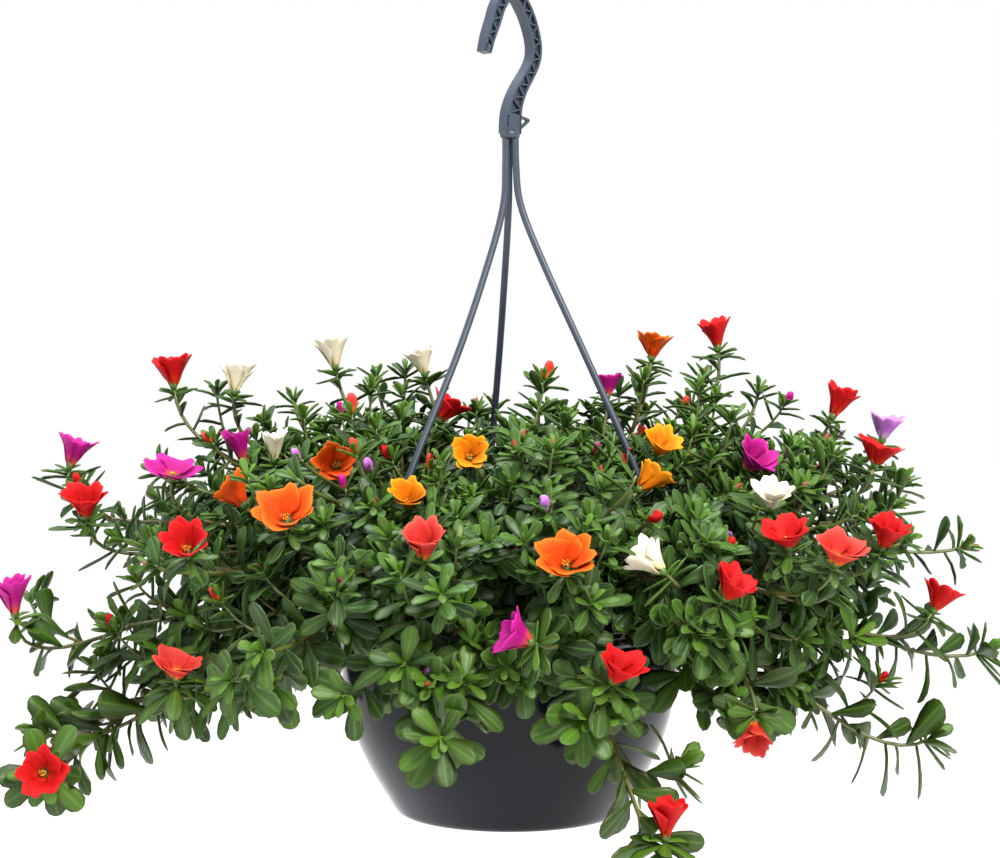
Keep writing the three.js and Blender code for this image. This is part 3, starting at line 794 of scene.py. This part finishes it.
def clear_of_the_rest(rows):
    """Whether each leaf keeps out of the pot, off the arms and from in front of the blooms."""
    clear = np.ones(len(rows), bool)
    for share in (0.0, 0.35, 0.6, 0.8, 1.0):
        spot = rows[:, :3] + rows[:, 3:6] * (rows[:, 9:10] * share)
        radius = np.hypot(spot[:, 0], spot[:, 1])
        clear &= (spot[:, 2] > RIM_Z + 2) | (radius > pot_outer_radius(spot[:, 2]) + 2)
        clear &= np.abs(spot[:, 0]) < MOST_SIDEWAYS
        if share:
            clear &= ~near_arm(spot, 6)
            clear &= ~hides_front_arms(spot)
            clear &= ~in_front_of_bloom(spot, 0.85)
            clear &= ~in_bloom_cup(spot)
    return clear


def seen_from_outside(rows):
    """Leaves deep in the plant are hidden by the outer ones, and most of them drop in the shade."""
    x, y, z = rows[:, 0], rows[:, 1], rows[:, 2] - RIM_Z
    depth = (x / 240) ** 2 + (y / 200) ** 2 + (z / 110) ** 2
    return (depth > 0.42) | (rng.uniform(0, 1, len(rows)) < 0.2)


keep = clear_of_the_rest(leaf_rows) & seen_from_outside(leaf_rows)
leaf_rows, leaf_branch = leaf_rows[keep], leaf_branch[keep]


def leaf_mesh(rows, pattern):
    """All leaves in rows as one shape."""
    foot, direction, face = rows[:, :3], rows[:, 3:6], rows[:, 6:9]
    size, half_width, curl, fold = (rows[:, i, None] for i in (9, 10, 11, 12))
    template, template_faces, _ = pattern
    station, across, up = template.T
    bend = curl * station
    turned = np.where(np.abs(curl) < 1e-3, 1e-3, curl)
    forward = size * np.sin(turned * station) / turned
    drop = -size * (1 - np.cos(turned * station)) / turned
    sideways = across * half_width
    lift = up + fold * np.abs(sideways)
    x = forward + lift * np.sin(bend)
    z = drop + lift * np.cos(bend)
    side = np.cross(face, direction)
    points = (
        foot[:, None, :]
        + x[..., None] * direction[:, None, :]
        + sideways[..., None] * side[:, None, :]
        + z[..., None] * face[:, None, :]
    )
    starts = (np.arange(len(rows)) * len(template))[:, None, None]
    faces = [(part + starts).reshape(-1, part.shape[1]) for part in template_faces]
    return points.reshape(-1, 3), faces


# Succulent leaf skin: deep green with a sheen of wax and lime green when young. The low, shaded leaves get
# an olive tint, which is painted light shining through them. There is a paler midrib and a thin margin,
# pale above and reddish brown low down.
leaf_skin, shader = new_material("waxy_succulent_leaf")
tone = add_node(leaf_skin, "Attribute", {"attribute_name": "tone"})
young = add_node(leaf_skin, "Attribute", {"attribute_name": "youth"})
middle = add_node(leaf_skin, "Attribute", {"attribute_name": "across"})
shaded = add_node(leaf_skin, "Attribute", {"attribute_name": "shade"})
grown = add_node(leaf_skin, "Mix", {6: linear("0e200a"), 7: linear("1f3a0e")}, {"Factor": (tone, "Fac")})
# painted light: the low leaves in the shade are tinted olive for light shining through them
backlight_share = add_node(leaf_skin, "MapRange", {"To Min": 0.0, "To Max": 0.55}, {"Value": (shaded, "Fac")})
olive = add_node(
    leaf_skin, "Mix", {7: linear("2e460c")}, {"Factor": (backlight_share, "Result"), 6: (grown, 2)}
)
fresh = add_node(leaf_skin, "Mix", {7: linear("466a12")}, {"Factor": (young, "Fac"), 6: (olive, 2)})
midrib = add_node(
    leaf_skin, "MapRange", {"From Min": 0.0, "From Max": 0.2, "To Min": 0.4, "To Max": 0.0},
    {"Value": (middle, "Fac")},
)
ribbed = add_node(leaf_skin, "Mix", {7: linear("547832")}, {"Factor": (midrib, "Result"), 6: (fresh, 2)})
margin = add_node(
    leaf_skin, "MapRange", {"From Min": 0.82, "From Max": 1.0, "To Min": 0.0, "To Max": 0.7},
    {"Value": (middle, "Fac")},
)
margin_colour = add_node(
    leaf_skin, "Mix", {6: linear("5e8244"), 7: linear("4c3226")}, {"Factor": (shaded, "Fac")}
)
edged = add_node(
    leaf_skin, "Mix", {}, {"Factor": (margin, "Result"), 6: (ribbed, 2), 7: (margin_colour, 2)}
)
link(leaf_skin, edged, 2, shader, "Base Color")
where = add_node(leaf_skin, "TexCoord")
# patches of wax about 4 mm across
wax = add_node(leaf_skin, "TexNoise", {"Scale": 250.0, "Detail": 2.0}, {"Vector": (where, "Object")})
gloss = add_node(leaf_skin, "MapRange", {"To Min": 0.38, "To Max": 0.55}, {"Value": (wax, "Fac")})
shader.inputs["Specular IOR Level"].default_value = 0.27
link(leaf_skin, gloss, "Result", shader, "Roughness")
relief = add_node(leaf_skin, "Bump", {"Strength": 0.25, "Distance": 0.0004}, {"Height": (wax, "Fac")})
link(leaf_skin, relief, "Normal", shader, "Normal")

LONGEST_SHORT_LEAF = 30.0  # mm
patterns = (leaf_pattern(LONG_LEAF), leaf_pattern(SHORT_LEAF))
for branch in range(BRANCH_COUNT):
    shapes, tone, youth, shade, across = [], [], [], [], []
    in_branch = leaf_branch == branch
    is_short = leaf_rows[:, 9] < LONGEST_SHORT_LEAF
    for pattern, rows in zip(
        patterns, (leaf_rows[in_branch & ~is_short], leaf_rows[in_branch & is_short]), strict=True
    ):
        count = len(pattern[0])
        shapes.append(leaf_mesh(rows, pattern))
        tone.append(np.repeat(rng.uniform(0, 1, len(rows)), count))
        youth.append(np.repeat(rows[:, 13], count))
        shade.append(np.repeat(rows[:, 14], count))
        across.append(np.tile(pattern[2], len(rows)))
    leaves = build_object(
        f"leaves_{branch + 1}", *merged(shapes), leaf_skin, tone=np.concatenate(tone),
        youth=np.concatenate(youth), shade=np.concatenate(shade), across=np.concatenate(across),
    )
    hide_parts(f"branch_{branch + 1}")
    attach(leaves, "root")

# ---- Blooms ----
# Each bloom is a cup of five thin silky petals, notched at the top and overlapping at the sides, on a
# short green base.

PETAL_COUNT = 5
PETAL_ROWS, PETAL_COLUMNS = 11, 9  # points along and across a petal
PETAL_THICKNESS = 0.45

PETAL_COLOURS = {  # main colour, throat, edge
    "magenta": ("8e0862", "b84424", "aa1e80"),
    "red": ("9e0608", "a8280a", "b21214"),
    "coral": ("ac2620", "c8661e", "c0443a"),
    "orange": ("ba3a02", "ae3002", "c85c0a"),
    "amber": ("c26a02", "b65002", "d2860c"),
    "cream": ("cec4ac", "c6b484", "dad2c0"),
    "lilac": ("9c58aa", "c0a0b8", "b67ec0"),
}


def petal_material(colour):
    """Thin silky petal skin: matt, with fine veins that run up from a contrasting throat."""
    main, throat, edge = PETAL_COLOURS[colour]
    material, shader = new_material(f"silky_{colour}_petal")
    along = add_node(material, "Attribute", {"attribute_name": "along"})
    across = add_node(material, "Attribute", {"attribute_name": "across"})
    place = add_node(material, "CombineXYZ", {}, {"X": (across, "Fac"), "Y": (along, "Fac")})
    # some thirty fine veins across a petal
    stretched = add_node(material, "Mapping", {"Scale": (9.0, 1.2, 1.0)}, {"Vector": (place, "Vector")})
    veins = add_node(
        material, "TexNoise", {"Scale": 2.0, "Detail": 3.0}, {"Vector": (stretched, "Vector")}
    )
    depth = add_node(material, "MapRange", {"From Min": 0.1, "From Max": 0.42}, {"Value": (along, "Fac")})
    base = add_node(material, "Mix", {6: linear(throat), 7: linear(main)}, {"Factor": (depth, "Result")})
    shade = add_node(
        material, "MapRange", {"From Min": 0.35, "From Max": 0.7, "To Min": 0.0, "To Max": 0.3},
        {"Value": (veins, "Fac")},
    )
    dark = tuple(c * 0.62 for c in linear(main)[:3]) + (1.0,)
    veined = add_node(material, "Mix", {7: dark}, {"Factor": (shade, "Result"), 6: (base, 2)})
    rim = add_node(
        material, "MapRange", {"From Min": 0.7, "From Max": 1.0, "To Min": 0.0, "To Max": 0.8},
        {"Value": (along, "Fac")},
    )
    edged = add_node(material, "Mix", {7: linear(edge)}, {"Factor": (rim, "Result"), 6: (veined, 2)})
    link(material, edged, 2, shader, "Base Color")
    shader.inputs["Roughness"].default_value = 0.62
    shader.inputs["Specular IOR Level"].default_value = 0.12
    relief = add_node(material, "Bump", {"Strength": 0.3, "Distance": 0.0005}, {"Height": (veins, "Fac")})
    link(material, relief, "Normal", shader, "Normal")
    return material


petal_materials = {colour: petal_material(colour) for colour in PETAL_COLOURS}


def axis_frame(axis):
    """Two directions square to an axis."""
    first = unit(np.cross(axis, (0.12, 0.98, 0.1)))
    return first, np.cross(axis, first)


def petal(radius, depth):
    """One petal about the Z axis, as a closed sheet, with each point's place along and across it."""
    u, v = np.meshgrid(np.linspace(0, 1, PETAL_ROWS), np.linspace(-1, 1, PETAL_COLUMNS), indexing="ij")
    notch = 0.12 * np.exp(-((v / 0.24) ** 2)) + 0.3 * np.abs(v) ** 3
    reach = u * (1 - notch * u**2)
    flare = rng.uniform(0.6, 1.25)
    out = radius * (0.13 + 0.87 * (0.75 * reach + 0.25 * flare * reach**3))
    out = out * rng.uniform(0.9, 1.08) + v * radius * 0.07  # one edge lies outside the next petal
    height = depth * (reach**1.05) * rng.uniform(1.02, 1.36)
    half = radius * 0.74 * np.clip(u, 0.03, 1) ** 0.6
    ruffle = radius * 0.11 * u**2 * np.sin(v * 4.5 + rng.uniform(0, 6))
    wrap = v * half / np.maximum(out, radius * 0.42)
    out = out + ruffle
    height = height + ruffle * 0.6
    sheet = np.stack([out * np.cos(wrap), out * np.sin(wrap), height], axis=-1)
    normal = unit(np.cross(np.gradient(sheet, axis=0), np.gradient(sheet, axis=1)) + 1e-9)
    front = sheet + normal * PETAL_THICKNESS / 2
    back = sheet - normal * PETAL_THICKNESS / 2
    count = PETAL_ROWS * PETAL_COLUMNS
    grid = np.arange(count).reshape(PETAL_ROWS, PETAL_COLUMNS)
    quads = np.stack([grid[:-1, :-1], grid[1:, :-1], grid[1:, 1:], grid[:-1, 1:]], axis=-1).reshape(-1, 4)
    rim = np.concatenate([grid[0], grid[1:, -1], grid[-1, -2::-1], grid[-2:0:-1, 0]])
    after = np.roll(rim, -1)
    edge = np.stack([rim, after, after + count, rim + count], axis=1)
    points = np.concatenate([front.reshape(-1, 3), back.reshape(-1, 3)])
    faces = [quads, quads[:, ::-1] + count, edge]
    return points, faces, np.tile(u.ravel(), 2), np.tile(v.ravel(), 2)


for name, (foot, axis, radius, depth) in blooms.items():
    colour = name.split("_")[1]
    first, second = axis_frame(axis)
    start = rng.uniform(0, 2 * math.pi)
    shapes, along, across = [], [], []
    for i in range(PETAL_COUNT):
        points, faces, u, v = petal(radius, depth - 2.5)
        turn = start + i * 2 * math.pi / PETAL_COUNT + rng.uniform(-0.08, 0.08)
        x, y = turned(points[:, 0], points[:, 1], turn)
        placed = foot + axis * 2.5 + np.outer(x, first) + np.outer(y, second)
        shapes.append((placed + np.outer(points[:, 2], axis), faces))
        along.append(u)
        across.append(v)
    petals = build_object(
        name.replace("bloom", "petals"), *merged(shapes), petal_materials[colour],
        along=np.concatenate(along), across=np.concatenate(across),
    )
    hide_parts(name)
    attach(petals, "root")

# ---- Bloom hearts ----
# In each cup stand fifteen stamens, thin orange threads with a grain of yellow pollen at the end.

STAMEN_COUNT = 15
THREAD_SIDES, GRAIN_SIDES = 3, 4
stamen_shapes, pollen_share = [], []
for foot, axis, _, depth in blooms.values():
    first, second = axis_frame(axis)
    base = foot + axis * 3
    for i in range(STAMEN_COUNT):
        turn = i * SHOOT_TURN
        splay = 0.12 + 0.4 * math.sqrt(i / STAMEN_COUNT)
        outward = first * math.cos(turn) + second * math.sin(turn)
        tip = base + unit(axis + outward * splay) * depth * rng.uniform(0.28, 0.4)
        middle_point = (base + tip) / 2 + axis * 0.4
        stamen_shapes.append(sweep([base + outward, middle_point, tip], 0.22, THREAD_SIDES))
        grain_line = [tip - axis * 0.5, tip, tip + axis * 0.6]
        stamen_shapes.append(sweep(grain_line, [0.25, 0.55, 0.2], GRAIN_SIDES))
        pollen_share += [0.0] * 3 * THREAD_SIDES + [1.0] * 3 * GRAIN_SIDES

# Stamens: matt, with reddish orange threads and grains of yellow pollen.
pollen, shader = new_material("matt_thread_and_pollen")
grain = add_node(pollen, "Attribute", {"attribute_name": "grain"})
tint = add_node(pollen, "Mix", {6: linear("a83c10"), 7: linear("cc9410")}, {"Factor": (grain, "Fac")})
link(pollen, tint, 2, shader, "Base Color")
shader.inputs["Roughness"].default_value = 0.8
stamens = build_object("stamens", *merged(stamen_shapes), pollen, grain=pollen_share)
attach(stamens, "root")

# ---- Buds ----
# Pointed green buds stand in many rosettes, some with colour showing at the tip, and a green base
# holds each bloom. Opening buds are petals still rolled up, and spent blooms are dark-red wisps.

BUD_SIDES, BASE_SIDES, ROLLED_SIDES = 8, 10, 15
bud_profile = np.array(  # share of the length, share of the radius
    [(0, 0.35), (0.12, 0.75), (0.3, 1.0), (0.5, 0.95), (0.7, 0.68), (0.86, 0.36), (1, 0.08)]
)


def spindle(foot, axis, length, radius):
    """A closed green bud."""
    path = foot + np.outer(bud_profile[:, 0] * length, axis)
    return sweep(path, bud_profile[:, 1] * radius, BUD_SIDES)


bud_shapes, bud_place = [], []
for foot, axis, _, _ in blooms.values():
    base_line = [foot - axis, foot + axis * 2, foot + axis * 5]
    bud_shapes.append(sweep(base_line, [1.5, 3.0, 2.2], BASE_SIDES))
    bud_place.append(np.zeros(3 * BASE_SIDES))
free_shoots = [shoot for shoot in shoots if not shoot["bloom"]]
for shoot in free_shoots[::7]:
    path = shoot["path"]
    axis = unit(path[-1] - path[-2])
    length = rng.uniform(7, 12)
    if not in_bloom_cup(path[-1:] + axis * length * 0.6).any():
        bud_shapes.append(spindle(path[-1] - axis, axis, length, length * 0.24))
        bud_place.append(np.repeat(bud_profile[:, 0], BUD_SIDES))

rolled_profile = np.array(  # share of the length, share of the radius
    [(0, 0.45), (0.2, 0.8), (0.45, 1.0), (0.68, 1.0), (0.84, 0.8), (0.96, 0.5), (1.0, 0.2)]
)


def rolled_bud(foot, axis, length, radius):
    """Petals still rolled round each other, as a spindle with three twisted folds."""
    share, width = rolled_profile.T
    points, faces = sweep(foot + np.outer(share * length, axis), width * radius, ROLLED_SIDES)
    centres = np.repeat(foot + np.outer(share * length, axis), ROLLED_SIDES, axis=0)
    turns = np.tile(np.arange(ROLLED_SIDES) * 2 * np.pi / ROLLED_SIDES, len(share))
    folds = 1 + 0.3 * np.cos(3 * turns - 6 * np.repeat(share, ROLLED_SIDES))
    return centres + (points - centres) * folds[:, None], faces


for number, colour in enumerate(("red", "coral", "magenta", "lilac")):
    rolled = []
    for shoot in free_shoots[5 + 6 * number :: 46]:
        path = shoot["path"]
        axis = unit(path[-1] - path[-2] + rng.normal(0, 1, 3))
        length = rng.uniform(9, 14)
        if not in_bloom_cup(path[-1:] + axis * length * 0.6).any():
            rolled.append(rolled_bud(path[-1], axis, length, length * 0.24))
    ring_share = np.repeat(rolled_profile[:, 0], ROLLED_SIDES)
    ring_turn = np.tile(np.linspace(-1, 1, ROLLED_SIDES), len(rolled_profile))
    opening_buds = build_object(
        f"opening_buds_{colour}", *merged(rolled), petal_materials[colour],
        along=np.tile(ring_share, len(rolled)), across=np.tile(ring_turn, len(rolled)),
    )
    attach(opening_buds, "root")

wisp_shapes = []
for shoot in free_shoots[3::20]:
    path = shoot["path"]
    axis = unit(path[-1] - path[-2] + rng.normal(0, 3, 3))
    length = rng.uniform(9, 15)
    droop = axis * length * 0.6 + np.array([0, 0, -length * 0.35])
    line = smooth_line([path[-1], path[-1] + axis * length * 0.5, path[-1] + droop * 1.4], 9)
    radii = np.array([1.0, 1.3, 1.7, 2.0, 1.6, 1.9, 1.5, 1.1, 0.8, 0.3])
    wisp_shapes.append(sweep(line, radii, 7, oval=0.6))

# Spent petals: dry, dark red-brown and crumpled.
spent_petal, shader = new_material("dry_spent_petal")
shader.inputs["Base Color"].default_value = linear("4c1418")
shader.inputs["Roughness"].default_value = 0.8
wisps = build_object("spent_blooms", *merged(wisp_shapes), spent_petal)
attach(wisps, "root")

# Bud skin: smooth green sepals, red at the point where the petals show.
bud_skin, shader = new_material("green_bud_skin")
place = add_node(bud_skin, "Attribute", {"attribute_name": "along"})
pointed = add_node(bud_skin, "MapRange", {"From Min": 0.55, "From Max": 0.85}, {"Value": (place, "Fac")})
tint = add_node(
    bud_skin, "Mix", {6: linear("3a581a"), 7: linear("8c1616")}, {"Factor": (pointed, "Result")}
)
link(bud_skin, tint, 2, shader, "Base Color")
shader.inputs["Roughness"].default_value = 0.45
buds = build_object("buds", *merged(bud_shapes), bud_skin, along=np.concatenate(bud_place))
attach(buds, "root")
